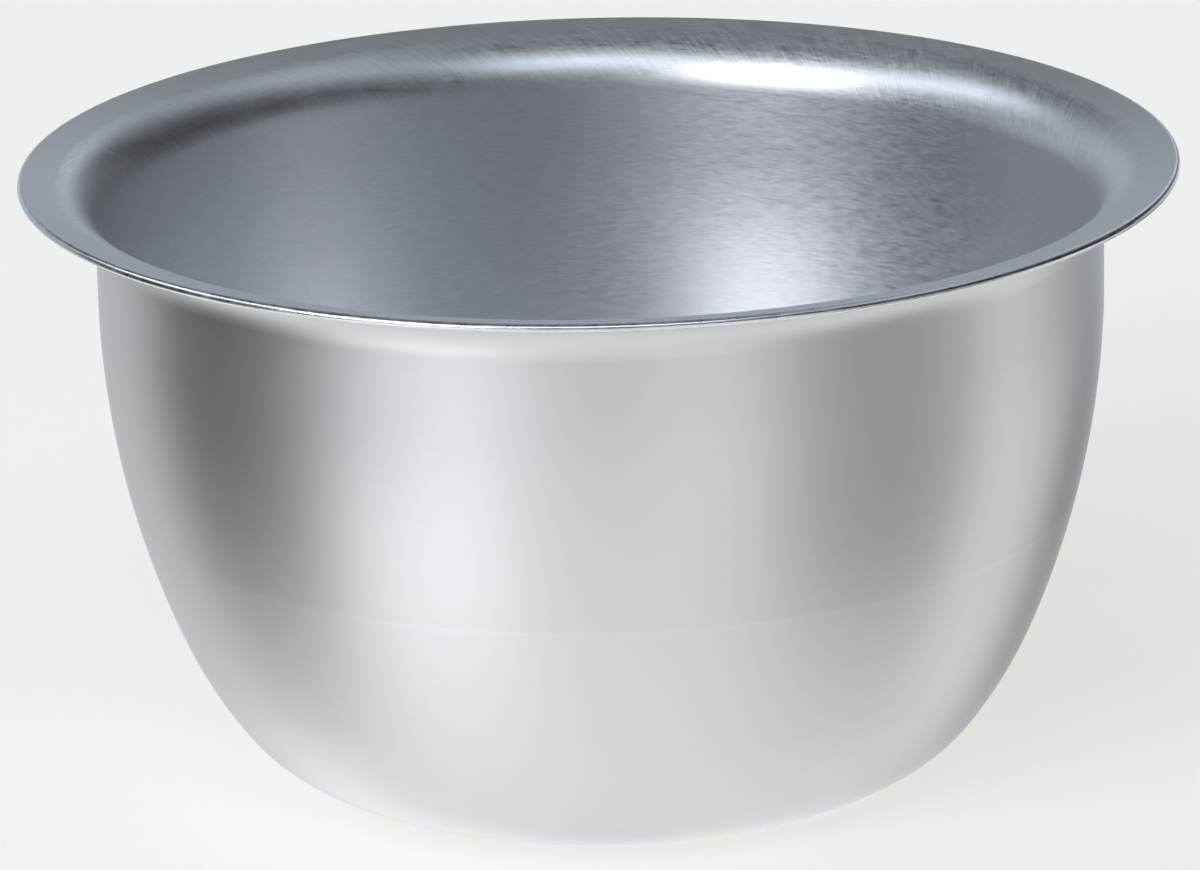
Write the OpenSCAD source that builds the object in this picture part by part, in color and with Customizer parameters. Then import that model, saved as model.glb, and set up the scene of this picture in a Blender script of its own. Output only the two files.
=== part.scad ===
// Mixing bowl pressed from one stainless steel sheet: deep round body, flat base,
// rim rolled outwards into a slightly rising lip whose edge is folded back under it.
// The origin is at the centre of the base, on the surface that the bowl stands on.
// Each module is one region of the sheet, as its forming steps leave it.

/* [Sheet] */
// Thickness of the steel sheet
sheet_t = 1; // [0.8:0.1:1.2]

/* [Body] */
// Height from the standing surface to the top of the lip's edge
height = 148; // [146:0.5:170]
// Outside diameter of the upright part of the wall
wall_d = 240; // [234:1:242]
// Outside radius of the long curve below the upright part
upper_bend_r = 212; // [205:1:220]
// Angle that the long curve turns through
upper_bend_angle = 23; // [20:1:24]
// Outside radius of the middle curve
middle_bend_r = 104; // [95:1:110]
// Angle that the middle curve turns through
middle_bend_angle = 14; // [10:1:16]
// Outside radius of the corner between wall and base
corner_r = 35; // [30:0.5:40]
// Angle down the long curve at which the faint draw line runs
draw_line_angle = 14; // [10:1:18]

/* [Base] */
// Width of the flat ring that the bowl stands on
standing_ring_w = 10; // [6:1:14]
// Height that the middle of the base is set up by
set_up = 0.8; // [0.4:0.1:1.2]
// Width of the slope between the ring's flat face and the middle
set_up_slope_w = 3; // [2:0.5:5]

/* [Rim] */
// Outside diameter over the lip
rim_d = 276; // [274:1:286]
// Radius of the roll from the wall into the lip, on its upper side
flare_r = 13; // [10:0.5:14]
// Angle at which the lip rises outwards
lip_rise = 10; // [8:1:12]
// Share of the lip's straight part that the folded layer under it covers
hem_share = 0.8; // [0.5:0.05:1]

/* [Hidden] */

steel = [0.76, 0.77, 0.78];
$fn = 360;

wall_r = wall_d / 2;
rim_r = rim_d / 2;

// Directions from their centres in which the wall's curves meet, as angles above the horizontal.
middle_bend_top = -upper_bend_angle;
corner_top = middle_bend_top - middle_bend_angle;
corner_middle = (corner_top - 90) / 2;

// Centres of the curves, [radius, height]. Each pair of curves shares a tangent where it meets.
function along(angle) = [cos(angle), sin(angle)];
middle_step = (upper_bend_r - middle_bend_r) * along(middle_bend_top);
corner_step = (middle_bend_r - corner_r) * along(corner_top);
upper_bend_c = [wall_r - upper_bend_r, corner_r - middle_step[1] - corner_step[1]];
middle_bend_c = upper_bend_c + middle_step;
corner_c = middle_bend_c + corner_step;

base_r = corner_c[0];
panel_r = base_r - standing_ring_w;
panel_flat_r = panel_r - set_up_slope_w;

// The slope up to the middle of the base is two equal bends, one after the other.
set_up_angle = 2 * atan(set_up / set_up_slope_w);
set_up_bend_r = set_up_slope_w / (2 * sin(set_up_angle)) + sheet_t / 2;
foot_bend_c = [panel_r, set_up_bend_r];
panel_bend_c = [panel_flat_r, set_up + sheet_t - set_up_bend_r];

// The lip is straight from the roll to the fold, and its upper side is tangent to both.
lip_way = along(lip_rise);
lip_up = along(90 + lip_rise);
fold = [rim_r - sheet_t, height - sheet_t];
flare_c_r = wall_r - sheet_t + flare_r;
flare_c_z = fold[1] - (flare_r - sheet_t + (flare_c_r - fold[0]) * lip_up[0]) / lip_up[1];
flare_c = [flare_c_r, flare_c_z];
lip_w = (fold - flare_c) * lip_way;
hem_w = hem_share * lip_w;

// Section of a bent stretch of sheet about centre c, from outer radius r inwards by the
// sheet's thickness, between the directions a0 and a1.
module bend(c, r, a0, a1) {
    reach = 2 * r;
    translate(c)
        intersection() {
            difference() {
                circle(r = r);
                circle(r = r - sheet_t);
            }
            polygon([[0, 0], reach * along(a0), reach * along((a0 + a1) / 2), reach * along(a1)]);
        }
}

module base_panel() {
    color(steel)
        translate([0, 0, set_up])
            cylinder(r = panel_flat_r, h = sheet_t);
}

module standing_ring() {
    color(steel)
        rotate_extrude()
            union() {
                bend(panel_bend_c, set_up_bend_r, 90 - set_up_angle, 90);
                bend(foot_bend_c, set_up_bend_r, -90 - set_up_angle, -90);
                translate([panel_r, 0])
                    square([standing_ring_w, sheet_t]);
            }
}

module base_corner() {
    color(steel)
        rotate_extrude()
            bend(corner_c, corner_r, -90, corner_middle);
}

module wall_foot() {
    color(steel)
        rotate_extrude()
            bend(corner_c, corner_r, corner_middle, corner_top);
}

module lower_wall() {
    color(steel)
        rotate_extrude()
            bend(middle_bend_c, middle_bend_r, corner_top, middle_bend_top);
}

module middle_wall() {
    color(steel)
        rotate_extrude()
            bend(upper_bend_c, upper_bend_r, middle_bend_top, -draw_line_angle);
}

module upper_wall() {
    color(steel)
        rotate_extrude()
            union() {
                bend(upper_bend_c, upper_bend_r, -draw_line_angle, 0);
                translate([wall_r - sheet_t, upper_bend_c[1]])
                    square([sheet_t, flare_c[1] - upper_bend_c[1]]);
            }
}

module rim_flare() {
    color(steel)
        rotate_extrude()
            translate(flare_c)
                rotate(lip_rise)
                    union() {
                        bend([0, 0], flare_r, 90, 180 - lip_rise);
                        translate([0, flare_r - sheet_t])
                            square([lip_w, sheet_t]);
                    }
}

module rim_hem() {
    color(steel)
        rotate_extrude()
            translate(flare_c)
                rotate(lip_rise)
                    translate([lip_w, flare_r - sheet_t])
                        union() {
                            intersection() {
                                circle(r = sheet_t);
                                translate([0, -sheet_t])
                                    square([sheet_t, 2 * sheet_t]);
                            }
                            translate([-hem_w, -sheet_t])
                                square([hem_w, sheet_t]);
                        }
}

base_panel();
standing_ring();
base_corner();
wall_foot();
lower_wall();
middle_wall();
upper_wall();
rim_flare();
rim_hem();
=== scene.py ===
"""The looks of a pressed steel mixing bowl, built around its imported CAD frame.

The bowl is one sheet of steel. Each CAD node is a region of that sheet, and each is drawn here as a
finer mesh of the same region, so that neighbours meet edge to edge with one shared surface normal.
All lengths are in metres, in the CAD frame: +Z up, the origin at the centre of the base.
"""

import math

import bpy
from mathutils import Matrix, Vector


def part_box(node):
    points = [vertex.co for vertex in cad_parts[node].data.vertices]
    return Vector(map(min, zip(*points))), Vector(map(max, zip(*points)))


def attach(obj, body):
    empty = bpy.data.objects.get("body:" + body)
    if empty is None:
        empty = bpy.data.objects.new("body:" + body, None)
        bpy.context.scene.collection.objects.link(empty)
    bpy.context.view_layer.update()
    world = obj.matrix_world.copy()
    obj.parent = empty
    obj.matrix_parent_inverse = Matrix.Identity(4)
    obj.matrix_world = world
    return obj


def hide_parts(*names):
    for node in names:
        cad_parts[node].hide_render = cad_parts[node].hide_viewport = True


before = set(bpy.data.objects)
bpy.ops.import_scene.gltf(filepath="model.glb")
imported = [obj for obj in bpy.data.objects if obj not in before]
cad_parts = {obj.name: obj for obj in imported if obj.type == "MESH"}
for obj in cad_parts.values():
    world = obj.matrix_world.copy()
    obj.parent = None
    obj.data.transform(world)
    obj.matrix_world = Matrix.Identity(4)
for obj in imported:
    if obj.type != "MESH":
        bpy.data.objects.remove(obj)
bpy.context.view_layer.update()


# ---------------------------------------------------------------- sizes, from the CAD nodes

def reach(node):
    """Largest radius of a node."""
    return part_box(node)[1].x


def low(node):
    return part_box(node)[0].z


def high(node):
    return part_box(node)[1].z


def along(angle):
    """Unit vector (radius, height) at an angle above the horizontal."""
    return Vector((math.cos(math.radians(angle)), math.sin(math.radians(angle))))


# Angles at which the CAD's curves meet, above the horizontal.
DRAW_LINE = -14
UPPER_BEND_END = -23
MIDDLE_BEND_END = -37
CORNER_MIDDLE = -63.5
BASE_TANGENT = -90
# The angle at which the lip rises, and the shape of the set-up base and of the hem, as in the CAD.
LIP_RISE = 10
SET_UP_SLOPE_W = 0.003
HEM_SHARE = 0.8

sheet_t = high("base_panel") - low("base_panel")
height = high("rim_hem")
rim_r = reach("rim_hem")
wall_r = reach("upper_wall")
base_r = reach("standing_ring")
panel_flat_r = reach("base_panel")
panel_r = panel_flat_r + SET_UP_SLOPE_W

# Outside radii of the curves, from how far each node reaches outwards.
corner_r = (reach("wall_foot") - base_r) / along(MIDDLE_BEND_END).x
middle_bend_r = (reach("lower_wall") - reach("wall_foot")) / (
    along(UPPER_BEND_END).x - along(MIDDLE_BEND_END).x
)
upper_bend_r = (wall_r - reach("middle_wall")) / (1 - along(DRAW_LINE).x)

# Centres of the curves, as (radius, height).
corner_c = Vector((base_r, corner_r))
middle_bend_c = corner_c - (middle_bend_r - corner_r) * along(MIDDLE_BEND_END)
upper_bend_c = middle_bend_c - (upper_bend_r - middle_bend_r) * along(UPPER_BEND_END)

# The lip is straight, and its upper side is tangent to the roll at one end and to the fold at the
# other. Its roll starts where the rim_flare node is lowest, and that and the fold give its radius.
lip_way = along(LIP_RISE)
lip_up = along(90 + LIP_RISE)
fold = Vector((rim_r - sheet_t, height - sheet_t))
roll_foot = Vector((wall_r - sheet_t, low("rim_flare")))
flare_r = (sheet_t - (roll_foot - fold).dot(lip_up)) / (1 + lip_up.x)
flare_c = roll_foot + Vector((flare_r, 0))
lip_w = (fold - flare_c).dot(lip_way)
hem_w = HEM_SHARE * lip_w

set_up = low("base_panel")
set_up_angle = 2 * math.degrees(math.atan(set_up / SET_UP_SLOPE_W))
set_up_bend_r = SET_UP_SLOPE_W / (2 * along(90 - set_up_angle).x) + sheet_t / 2
foot_bend_c = Vector((panel_r, set_up_bend_r))
panel_bend_c = Vector((panel_flat_r, high("base_panel") - set_up_bend_r))
draw_line_z = high("middle_wall")


# ---------------------------------------------------------------- meshes of the sheet's regions

# Faces round the bowl, and the longest steps along its section: angles on the tight bends and on
# the two long ones, and a length on straight lines. The folded edge has a number of equal steps.
SEGMENTS = 256
ARC_STEP = 2.5
MIDDLE_BEND_STEP = 1
UPPER_BEND_STEP = 0.6
LINE_STEP = 0.008
NOSE_STEPS = 20
# Two points are the same if they agree to this many decimals of a metre.
DECIMALS = 9


def arc(centre, r, start, end, step=ARC_STEP):
    """Stations round a bend, each (point on the outer side, point on the inner side, way out)."""
    count = math.ceil(abs(end - start) / step)
    stations = []
    for i in range(count + 1):
        way = along(start + (end - start) * i / count)
        stations.append((centre + r * way, centre + (r - sheet_t) * way, way))
    return stations


def line(start, end, way):
    """Stations along a straight stretch, whose outer side runs from start to end."""
    count = math.ceil((end - start).length / LINE_STEP)
    stations = []
    for i in range(count + 1):
        outer = start.lerp(end, i / count)
        stations.append((outer, outer - sheet_t * way, way))
    return stations


def turned(stations):
    """The same stations with the sheet's two sides changed over."""
    return [(inner, outer, -way) for outer, inner, way in stations]


def outline_of(*stretches):
    """Closed outline of a region whose stretches follow each other.

    The stretches run with their outer side on the right. The outline is a list of edges, and each
    edge has a normal at either end, so that the sheet's two sides are smooth and its ends flat.
    """
    stations = list(stretches[0])
    for stretch in stretches[1:]:
        stations += stretch[1:]
    outer = [(point, way) for point, _, way in stations]
    inner = [(point, -way) for _, point, way in reversed(stations)]
    edges = list(zip(outer, outer[1:])) + list(zip(inner, inner[1:]))
    for start, end in ((outer[-1][0], inner[0][0]), (inner[-1][0], outer[0][0])):
        edges.append(flat_edge(start, end))
    return edges


def flat_edge(start, end):
    """Edge with the normal that stands square on its right side."""
    across = (end - start).normalized()
    way = Vector((across.y, -across.x))
    return (start, way), (end, way)


def key_of(point):
    """The same for two edge ends that meet."""
    return round(point.x, DECIMALS), round(point.y, DECIMALS)


def on_axis(point):
    return key_of(point)[0] == 0


def swung(vector, k):
    """A (radius, height) vector in space, at step k of the segments round the axis."""
    turn = 2 * math.pi * k / SEGMENTS
    return vector.x * math.cos(turn), vector.x * math.sin(turn), vector.y


def rings_of(edges):
    """The vertices of the outline's points turned round the axis, and each point's first one."""
    vertices = []
    first = {}
    for edge in edges:
        for point, _ in edge:
            if key_of(point) not in first:
                first[key_of(point)] = len(vertices)
                count = 1 if on_axis(point) else SEGMENTS
                vertices += [swung(point, k) for k in range(count)]
    return vertices, first


def revolved(name, edges):
    """A mesh made by turning an outline round the bowl's axis, with exact normals."""
    vertices, first = rings_of(edges)
    faces = []
    normals = []
    for start, end in edges:
        if on_axis(start[0]) and on_axis(end[0]):
            continue
        for k in range(SEGMENTS):
            after = (k + 1) % SEGMENTS
            face = []
            for (point, normal), step in ((start, k), (start, after), (end, after), (end, k)):
                vertex = first[key_of(point)] + (0 if on_axis(point) else step)
                if vertex not in face:
                    face.append(vertex)
                    normals.append(swung(normal, step))
            faces.append(face)
    mesh = bpy.data.meshes.new(name)
    mesh.from_pydata(vertices, [], faces)
    mesh.validate()
    mesh.normals_split_custom_set(normals)
    piece = bpy.data.objects.new(name, mesh)
    bpy.context.scene.collection.objects.link(piece)
    return piece


def base_panel_outline():
    return outline_of(line(Vector((0, set_up)), Vector((panel_flat_r, set_up)), along(-90)))


def standing_ring_outline():
    top_bend = turned(arc(panel_bend_c, set_up_bend_r, 90, 90 - set_up_angle))
    foot_bend = arc(foot_bend_c, set_up_bend_r, -90 - set_up_angle, -90)
    seat = line(Vector((panel_r, 0)), Vector((base_r, 0)), along(-90))
    return outline_of(top_bend, foot_bend, seat)


def base_corner_outline():
    return outline_of(arc(corner_c, corner_r, BASE_TANGENT, CORNER_MIDDLE))


def wall_foot_outline():
    return outline_of(arc(corner_c, corner_r, CORNER_MIDDLE, MIDDLE_BEND_END))


def lower_wall_outline():
    return outline_of(arc(middle_bend_c, middle_bend_r, MIDDLE_BEND_END, UPPER_BEND_END, MIDDLE_BEND_STEP))


def middle_wall_outline():
    return outline_of(arc(upper_bend_c, upper_bend_r, UPPER_BEND_END, DRAW_LINE, UPPER_BEND_STEP))


def upper_wall_outline():
    curve = arc(upper_bend_c, upper_bend_r, DRAW_LINE, 0, UPPER_BEND_STEP)
    upright = line(Vector((wall_r, upper_bend_c.y)), Vector((wall_r, flare_c.y)), along(0))
    return outline_of(curve, upright)


def rim_flare_outline():
    lip_top = fold + sheet_t * lip_up
    lip = line(lip_top, lip_top - lip_w * lip_way, lip_up)
    roll = arc(flare_c, flare_r, 90 + LIP_RISE, 180)
    return outline_of(lip, roll)


def rim_hem_outline():
    """The fold is a half round about the sheet's underside, and the layer behind it is straight."""
    ways = [along(-90 + LIP_RISE + 180 * i / NOSE_STEPS) for i in range(NOSE_STEPS + 1)]
    nose = [(fold + sheet_t * way, way) for way in ways]
    hem_end = fold - hem_w * lip_way
    corners = [nose[-1][0], fold, hem_end, hem_end - sheet_t * lip_up, nose[0][0]]
    return list(zip(nose, nose[1:])) + [flat_edge(a, b) for a, b in zip(corners, corners[1:])]


OUTLINES = {
    "base_panel": base_panel_outline,
    "standing_ring": standing_ring_outline,
    "base_corner": base_corner_outline,
    "wall_foot": wall_foot_outline,
    "lower_wall": lower_wall_outline,
    "middle_wall": middle_wall_outline,
    "upper_wall": upper_wall_outline,
    "rim_flare": rim_flare_outline,
    "rim_hem": rim_hem_outline,
}


# ---------------------------------------------------------------- short ways of adding nodes

class Graph:
    """The node tree of a material or a world, with a short call for each kind of node used here."""

    def __init__(self, owner):
        owner.use_nodes = True
        self.nodes = owner.node_tree.nodes
        self.links = owner.node_tree.links

    def feed(self, socket, value):
        """Links a socket to another one, or sets it to a constant."""
        if isinstance(value, bpy.types.NodeSocket):
            self.links.new(value, socket)
        else:
            socket.default_value = value

    def add(self, kind, inputs, **settings):
        made = self.nodes.new(kind)
        for name, value in settings.items():
            setattr(made, name, value)
        for name, value in inputs.items():
            self.feed(made.inputs[name], value)
        return made

    def math(self, operation, *values):
        made = self.add("ShaderNodeMath", {}, operation=operation)
        for socket, value in zip(made.inputs, values):
            self.feed(socket, value)
        return made.outputs["Value"]

    def vector(self, operation, *values, out="Vector"):
        made = self.add("ShaderNodeVectorMath", {}, operation=operation)
        for socket, value in zip(made.inputs, values):
            self.feed(socket, value)
        return made.outputs[out]

    def scaled(self, vector, factor):
        made = self.add("ShaderNodeVectorMath", {"Vector": vector, "Scale": factor}, operation="SCALE")
        return made.outputs["Vector"]

    def parts(self, vector):
        made = self.add("ShaderNodeSeparateXYZ", {"Vector": vector})
        return made.outputs["X"], made.outputs["Y"], made.outputs["Z"]

    def along_z(self, value):
        return self.add("ShaderNodeCombineXYZ", {"Z": value}).outputs["Vector"]

    def ramp(self, value, start, end):
        """Goes smoothly from 0 to 1 as the value goes from start to end."""
        inputs = {"Value": value, "From Min": start, "From Max": end}
        made = self.add("ShaderNodeMapRange", inputs, interpolation_type="SMOOTHSTEP")
        return made.outputs["Result"]

    def mix(self, factor, first, second):
        made = self.add("ShaderNodeMix", {"Factor": factor}, data_type="FLOAT")
        self.feed(made.inputs["A"], first)
        self.feed(made.inputs["B"], second)
        return made.outputs["Result"]

    def total(self, values):
        """Sum of a list of values."""
        result = values[0]
        for value in values[1:]:
            result = self.math("ADD", result, value)
        return result


# ---------------------------------------------------------------- steel

# The parts of the steel fade in from the first value of a pair to the second: the inside over how
# far the surface faces out, and the burnished folded edge over the radius.
INSIDE_FADE = (0.3, -0.3)
EDGE_FADE = (fold.x - 0.0004, fold.x + 0.0001)


class Place:
    """Where a point of the steel is: round the axis, its radius, its height, and on which part.

    The parts are numbers from 0 to 1: the sheet's inside, and the half round of the folded edge.
    """

    def __init__(self, graph):
        point = graph.add("ShaderNodeTexCoord", {}).outputs["Object"]
        normal = graph.add("ShaderNodeNewGeometry", {}).outputs["Normal"]
        flat = graph.vector("MULTIPLY", point, (1, 1, 0))
        self.point = point
        self.around = graph.vector("NORMALIZE", flat)
        self.radius = graph.vector("LENGTH", flat, out="Value")
        self.height = graph.parts(point)[2]
        # Above zero on the outside and underside, below zero on the inside and on top of the lip.
        facing_out = graph.vector("SUBTRACT", self.around, (0, 0, 1))
        facing = graph.vector("DOT_PRODUCT", normal, facing_out, out="Value")
        self.inside = graph.ramp(facing, *INSIDE_FADE)
        self.on_edge = graph.ramp(self.radius, *EDGE_FADE)


def noise(graph, vector, w, detail=2.0):
    """Noise from 0 to 1, with features one unit across."""
    inputs = {"Vector": vector, "W": w, "Scale": 1.0, "Detail": detail}
    made = graph.add("ShaderNodeTexNoise", inputs, noise_dimensions="4D")
    return made.outputs["Fac"]


# The length of the waves that bend a stroke, in lengths of the stroke.
WAVE_LENGTH = 1.2


def strokes(graph, place, length, width, wave=0.0):
    """Noise drawn out round the bowl into strokes, which a wave bends up and down."""
    height = place.height
    if wave:
        bends = noise(graph, graph.scaled(place.point, 1 / (WAVE_LENGTH * length)), 0.0, 0.0)
        height = graph.math("ADD", height, graph.math("MULTIPLY", bends, wave))
    around = graph.scaled(place.around, wall_r / length)
    up = graph.along_z(graph.math("DIVIDE", height, width))
    out = graph.math("DIVIDE", place.radius, width)
    return noise(graph, graph.vector("ADD", around, up), out)


# How far a scratch runs round the rim, for each length that it runs across it.
SCRATCH_SLANT = 0.8


def scratches(graph, place, length, width):
    """Fine scratches that cross the rolled rim at a slant, all leaning the same way round."""
    across = graph.math("MULTIPLY", graph.math("ADD", place.radius, place.height), math.sqrt(0.5))
    turn = graph.math("MULTIPLY", across, -SCRATCH_SLANT / wall_r)
    rotated = graph.add(
        "ShaderNodeVectorRotate", {"Vector": place.around, "Angle": turn}, rotation_type="Z_AXIS"
    )
    around = graph.scaled(rotated.outputs["Vector"], wall_r / width)
    return noise(graph, around, graph.math("DIVIDE", across, length), 1.0)


# The steel's colour, and its roughness and anisotropy on the satin sheet and on the folded edge.
STEEL_COLOUR = (0.68, 0.69, 0.7)
SATIN_ROUGHNESS, EDGE_ROUGHNESS = 0.42, 0.3
SATIN_ANISOTROPY, EDGE_ANISOTROPY = 0.4, 0.2

# How much each kind of mark changes the steel: its roughness, its height in metres and its tone.
ROUGHNESS, HEIGHT, TONE = range(3)
GRAIN = (0.06, 1.5e-6, 0.05)
WAVY_STROKES = (0.3, 5.0e-6, 0.3)
SCRATCHES = (0.15, 6.0e-6, 0.45)
# The beads on the folded edge are real bumps and roughness, and their tone is painted glints: lighter and
# darker spots in the steel's colour along the edge.
BEADS_AND_PAINTED_GLINTS = (0.3, 1.0e-4, 0.4)
BELOW_DRAW_LINE = (0.02, 0, 0.03)
DRAW_LINE_ITSELF = (0, 0, 0.03)


# The roll fades in over the height from the wall, and over the radius from the lip.
WALL_FADE = (flare_c.y - 0.002, flare_c.y + 0.005)
LIP_FADE = (flare_c.x + 0.001, flare_c.x - 0.003)


def on_roll(graph, place):
    """One on the inside of the rim's roll, and zero on the wall below it and on the lip."""
    above_wall = graph.ramp(place.height, *WALL_FADE)
    inside_lip = graph.ramp(place.radius, *LIP_FADE)
    return graph.math("MULTIPLY", graph.math("MULTIPLY", above_wall, inside_lip), place.inside)


def noise_marks(graph, place):
    """The marks that brushing and pressing leave, and painted glints on the folded edge, each from -0.5 to
    0.5 where it is found.
    """
    found = [
        (strokes(graph, place, length=0.015, width=0.0004), 1.0, GRAIN),
        (strokes(graph, place, length=0.0035, width=0.0005, wave=0.0007), place.inside, WAVY_STROKES),
        (scratches(graph, place, length=0.006, width=0.0007), on_roll(graph, place), SCRATCHES),
        # Beads along the folded edge, whose tone paints glints into the steel's colour.
        (strokes(graph, place, length=0.0025, width=0.004), place.on_edge, BEADS_AND_PAINTED_GLINTS),
    ]
    marks = []
    for pattern, mask, amounts in found:
        centred = graph.math("SUBTRACT", pattern, 0.5)
        marks.append((graph.math("MULTIPLY", centred, mask), amounts))
    return marks


# The half width of the draw line, and the heights over which the outside below it fades in.
DRAW_LINE_HALF_W = 0.0009
BELOW_FADE = (draw_line_z + 0.0006, draw_line_z - 0.0006)


def draw_line_marks(graph, place):
    """The faint line where the draw ends, and the lighter outside below it."""
    outside = graph.math("SUBTRACT", 1.0, place.inside)
    below = graph.ramp(place.height, *BELOW_FADE)
    off_line = graph.math("ABSOLUTE", graph.math("SUBTRACT", place.height, draw_line_z))
    line_itself = graph.ramp(off_line, DRAW_LINE_HALF_W, 0.0)
    return [
        (graph.math("MULTIPLY", below, outside), BELOW_DRAW_LINE),
        (graph.math("MULTIPLY", line_itself, outside), DRAW_LINE_ITSELF),
    ]


def steel():
    """Satin stainless steel, brushed round the bowl's axis and burnished at the folded edge."""
    material = bpy.data.materials.new("brushed_steel")
    graph = Graph(material)
    place = Place(graph)
    shader = graph.nodes["Principled BSDF"]
    shader.inputs["Metallic"].default_value = 1.0
    marks = noise_marks(graph, place) + draw_line_marks(graph, place)

    def marked(start, kind):
        """The start value, changed by every mark's amount of this kind."""
        changes = [
            graph.math("MULTIPLY", mark, amounts[kind]) for mark, amounts in marks if amounts[kind]
        ]
        return graph.total([start] + changes)

    roughness = marked(graph.mix(place.on_edge, SATIN_ROUGHNESS, EDGE_ROUGHNESS), ROUGHNESS)
    graph.feed(shader.inputs["Roughness"], roughness)
    bump_inputs = {"Height": marked(0.0, HEIGHT), "Strength": 1.0, "Distance": 1.0}
    bump = graph.add("ShaderNodeBump", bump_inputs)
    graph.feed(shader.inputs["Normal"], bump.outputs["Normal"])
    graph.feed(shader.inputs["Base Color"], graph.scaled(STEEL_COLOUR, marked(1.0, TONE)))
    anisotropy = graph.mix(place.on_edge, SATIN_ANISOTROPY, EDGE_ANISOTROPY)
    graph.feed(shader.inputs["Anisotropic"], anisotropy)
    # A quarter turn, because highlights stretch across the brushing, which runs round the axis.
    shader.inputs["Anisotropic Rotation"].default_value = 0.25
    tangent = graph.add("ShaderNodeTangent", {}, direction_type="RADIAL", axis="Z")
    graph.feed(shader.inputs["Tangent"], tangent.outputs["Tangent"])
    return material


# ---------------------------------------------------------------- floor, light and camera

# The floor is a round table top, whose far edge curves up into a backdrop.
FLOOR_R = 10
COVE_R = 4
COVE_STEPS = 15
BACKDROP_H = 8
TABLE_COLOUR = (0.4, 0.4, 0.4, 1)
TABLE_GLOW = (1, 0.985, 0.93, 1)
TABLE_GLOW_STRENGTH = 0.62


def floor_outline():
    """The floor's profile, from the top of its backdrop down and in to the axis."""
    cove_c = Vector((FLOOR_R, COVE_R))
    ways = [along(-90 * i / COVE_STEPS) for i in range(COVE_STEPS + 1)]
    cove = [(cove_c + COVE_R * way, -way) for way in ways]
    backdrop = flat_edge(Vector((FLOOR_R + COVE_R, BACKDROP_H)), cove[0][0])
    table_top = flat_edge(cove[-1][0], Vector((0, 0)))
    return [backdrop] + list(zip(cove, cove[1:])) + [table_top]


def floor():
    """A pale lit table top. The steel reflects the studio's lower half instead of the table."""
    table = revolved("floor", floor_outline())
    material = bpy.data.materials.new("table_white")
    graph = Graph(material)
    shader = graph.nodes["Principled BSDF"]
    shader.inputs["Base Color"].default_value = TABLE_COLOUR
    shader.inputs["Roughness"].default_value = 1.0
    shader.inputs["Specular IOR Level"].default_value = 0.0
    shader.inputs["Emission Color"].default_value = TABLE_GLOW
    shader.inputs["Emission Strength"].default_value = TABLE_GLOW_STRENGTH
    table.data.materials.append(material)
    table.visible_diffuse = False
    table.visible_glossy = False
    table.visible_shadow = False


# The studio's lights: where each one's middle is, its half width and half height, how softly it
# ends, its strength and its colour. Azimuth 0 is the camera's side and grows to the right.
COOL = (0.9, 0.98, 1.08)
PALE = (0.97, 0.99, 1.05)
PLAIN = (0.99, 0.995, 1.01)
LIGHTS = [
    # (azimuth, elevation, half width, half height, edge, strength, colour)
    # The window left of the camera, and the softer lights above the table.
    (-41, 22, 16, 9, 6, 9.0, PALE),
    (-82, 35, 46, 8, 11, 2.6, COOL),
    (61, 56, 86, 9, 13, 0.8, COOL),
    (2, 47, 26, 8, 8, 3.0, COOL),
    (149, 37, 19, 7, 11, 0.4, COOL),
    (180, 58, 42, 14, 20, 0.3, COOL),
    (167, 22, 8, 7, 8, 0.9, COOL),
    # The lit table under the bowl, and further out in front, on the right and behind.
    (0, -72, 180, 32, 27, 1.0, PLAIN),
    (-48, -32, 20, 10, 18, 1.8, PLAIN),
    (2, -22, 39, 17, 19, 0.9, PLAIN),
    (61, -14, 51, 4, 9, 1.4, PLAIN),
    (115, -27, 20, 15, 14, 0.9, PLAIN),
    (168, -26, 15, 15, 14, 0.45, PLAIN),
    (-157, -32, 37, 22, 12, 0.7, PLAIN),
    # The pale wall behind the table.
    (148, -4, 18, 10, 8, 0.8, COOL),
    (-157, 7, 37, 17, 12, 0.5, COOL),
    (-163, 4, 12, 8, 8, 0.25, COOL),
]
# What the studio is like between the lights.
DARK_GREY = (0.02, 0.02, 0.02)


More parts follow.
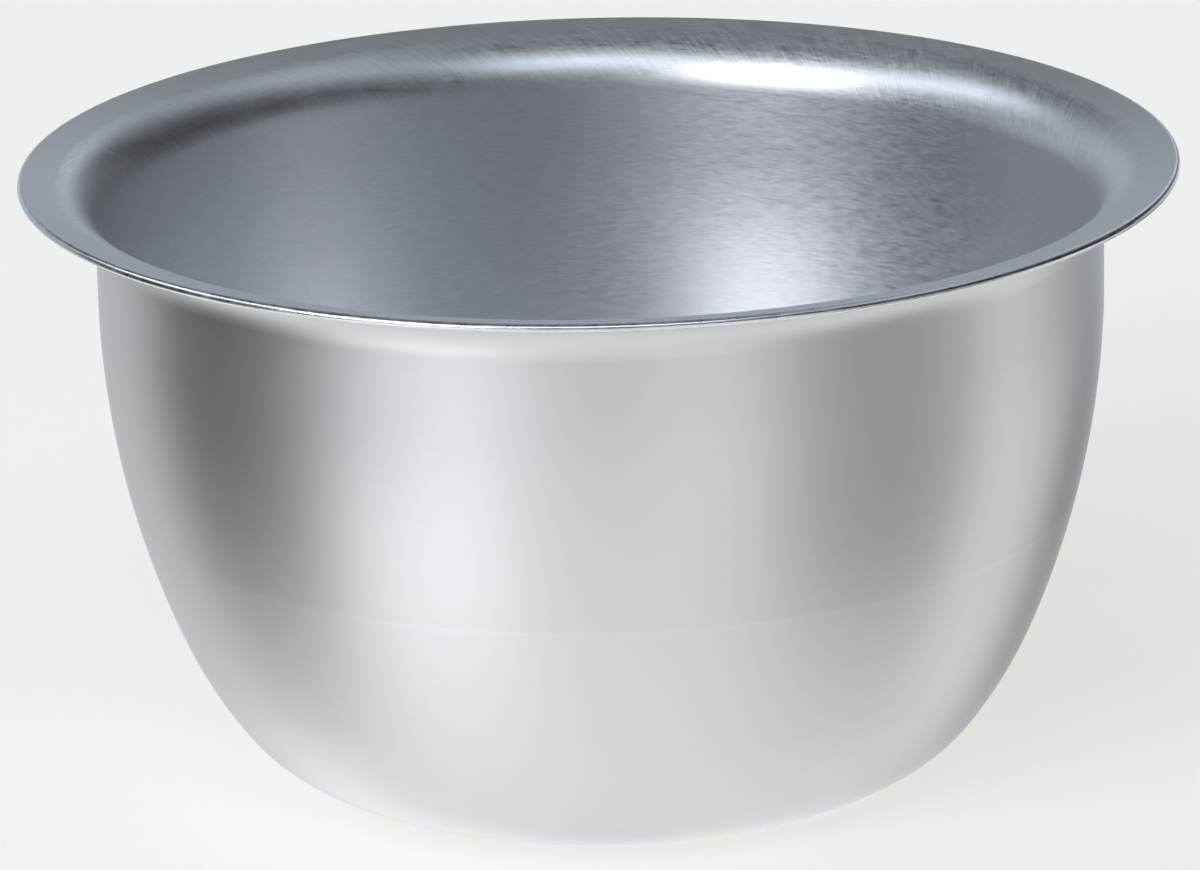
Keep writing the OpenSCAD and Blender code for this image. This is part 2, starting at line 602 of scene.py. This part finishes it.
def light_in(graph, azimuth, elevation, light):
    """A light's colour in a direction: full in its middle, and fading over its soft edge."""
    at_azimuth, at_elevation, half_width, half_height, edge, strength, colour = light
    share = 1.0
    for angle, middle, half in (
        (azimuth, at_azimuth, half_width), (elevation, at_elevation, half_height)
    ):
        offset = graph.math("SUBTRACT", angle, math.radians(middle))
        offset = graph.math("ABSOLUTE", graph.math("WRAP", offset, math.pi, -math.pi))
        inner, outer = math.radians(half - edge / 2), math.radians(half + edge / 2)
        share = graph.math("MULTIPLY", share, graph.ramp(offset, outer, inner))
    return graph.scaled(colour, graph.math("MULTIPLY", share, strength))


def studio_light():
    """Soft lights round the bowl, drawn on the world."""
    world = bpy.data.worlds.new("studio")
    bpy.context.scene.world = world
    graph = Graph(world)
    way = graph.add("ShaderNodeTexCoord", {}).outputs["Generated"]
    x, y, z = graph.parts(way)
    azimuth = graph.math("ARCTAN2", x, graph.math("MULTIPLY", y, -1.0))
    elevation = graph.math("ARCSINE", z)
    colour = DARK_GREY
    for light in LIGHTS:
        colour = graph.vector("ADD", light_in(graph, azimuth, elevation, light), colour)
    graph.feed(graph.nodes["Background"].inputs["Color"], colour)


# The camera looks down at the bowl through a long lens, and is turned a little about its axis.
# Its distance and elevation are seen from the middle of the rim; it aims at a point in the bowl.
CAMERA_DISTANCE = 13 * rim_r
CAMERA_ELEVATION = math.radians(15.334)
CAMERA_ROLL = math.radians(-1.32)
CAMERA_LENS = 226.16
CAMERA_AIM = Vector((-0.0011, 0, 0.0794))


def camera():
    data = bpy.data.cameras.new("camera")
    data.lens = CAMERA_LENS
    view = bpy.data.objects.new("camera", data)
    bpy.context.scene.collection.objects.link(view)
    bpy.context.scene.camera = view
    way = Vector((0, -math.cos(CAMERA_ELEVATION), math.sin(CAMERA_ELEVATION)))
    place = Vector((0, 0, fold.y)) + CAMERA_DISTANCE * way
    aim = (CAMERA_AIM - place).to_track_quat("-Z", "Y").to_matrix().to_4x4()
    view.matrix_world = Matrix.Translation(place) @ aim @ Matrix.Rotation(CAMERA_ROLL, 4, "Z")


camera()
brushed_steel = steel()
for node, outline in OUTLINES.items():
    piece = revolved("bowl_" + node, outline())
    piece.data.materials.append(brushed_steel)
    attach(piece, "root")
    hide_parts(node)
floor()
studio_light()
bpy.context.scene.view_settings.view_transform = "Standard"
